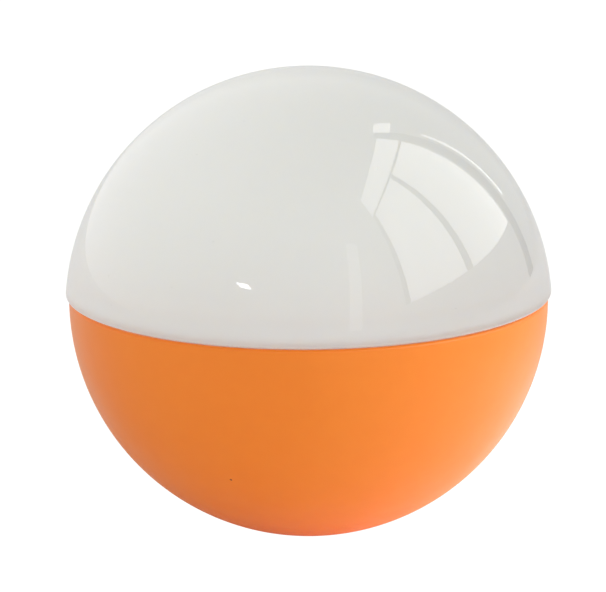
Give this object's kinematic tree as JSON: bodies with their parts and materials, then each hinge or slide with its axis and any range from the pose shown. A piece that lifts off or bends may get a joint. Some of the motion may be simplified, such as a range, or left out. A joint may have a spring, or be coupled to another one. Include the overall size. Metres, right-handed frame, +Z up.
{
  "type": "case opening friction ball",
  "caption": "Soft tacky ball for unscrewing watch case backs, kept in a round storage case with an opaque base and a clear plug-in lid.",
  "frame": {"origin": "middle of the flat foot under the base, the surface that the case stands on", "axes": "+Z up, along the axis of symmetry, from the foot through the base, the ball and the lid"},
  "size_m": [0.07, 0.07, 0.0672],
  "materials": {
    "base_plastic": "satin moulded orange plastic",
    "lid_plastic": "clear polished moulded plastic",
    "tacky_gel": "milky, slightly glossy tacky gel"
  },
  "bodies": {
    "base": {"case_base": "base_plastic"},
    "lid": {"case_lid": "lid_plastic"},
    "ball": {"friction_ball": "tacky_gel"}
  },
  "joints": [
    {"name": "lid_lift", "type": "slide", "parent": "base", "child": "lid", "axis": [0, 0, 1], "range_m": [0, 0.1]},
    {"name": "ball_lift", "type": "slide", "parent": "base", "child": "ball", "axis": [0, 0, 1], "range_m": [0, 0.05]}
  ],
  "couplings": [
    {"joint": "ball_lift", "follows": "lid_lift", "ratio": 0.5}
  ]
}
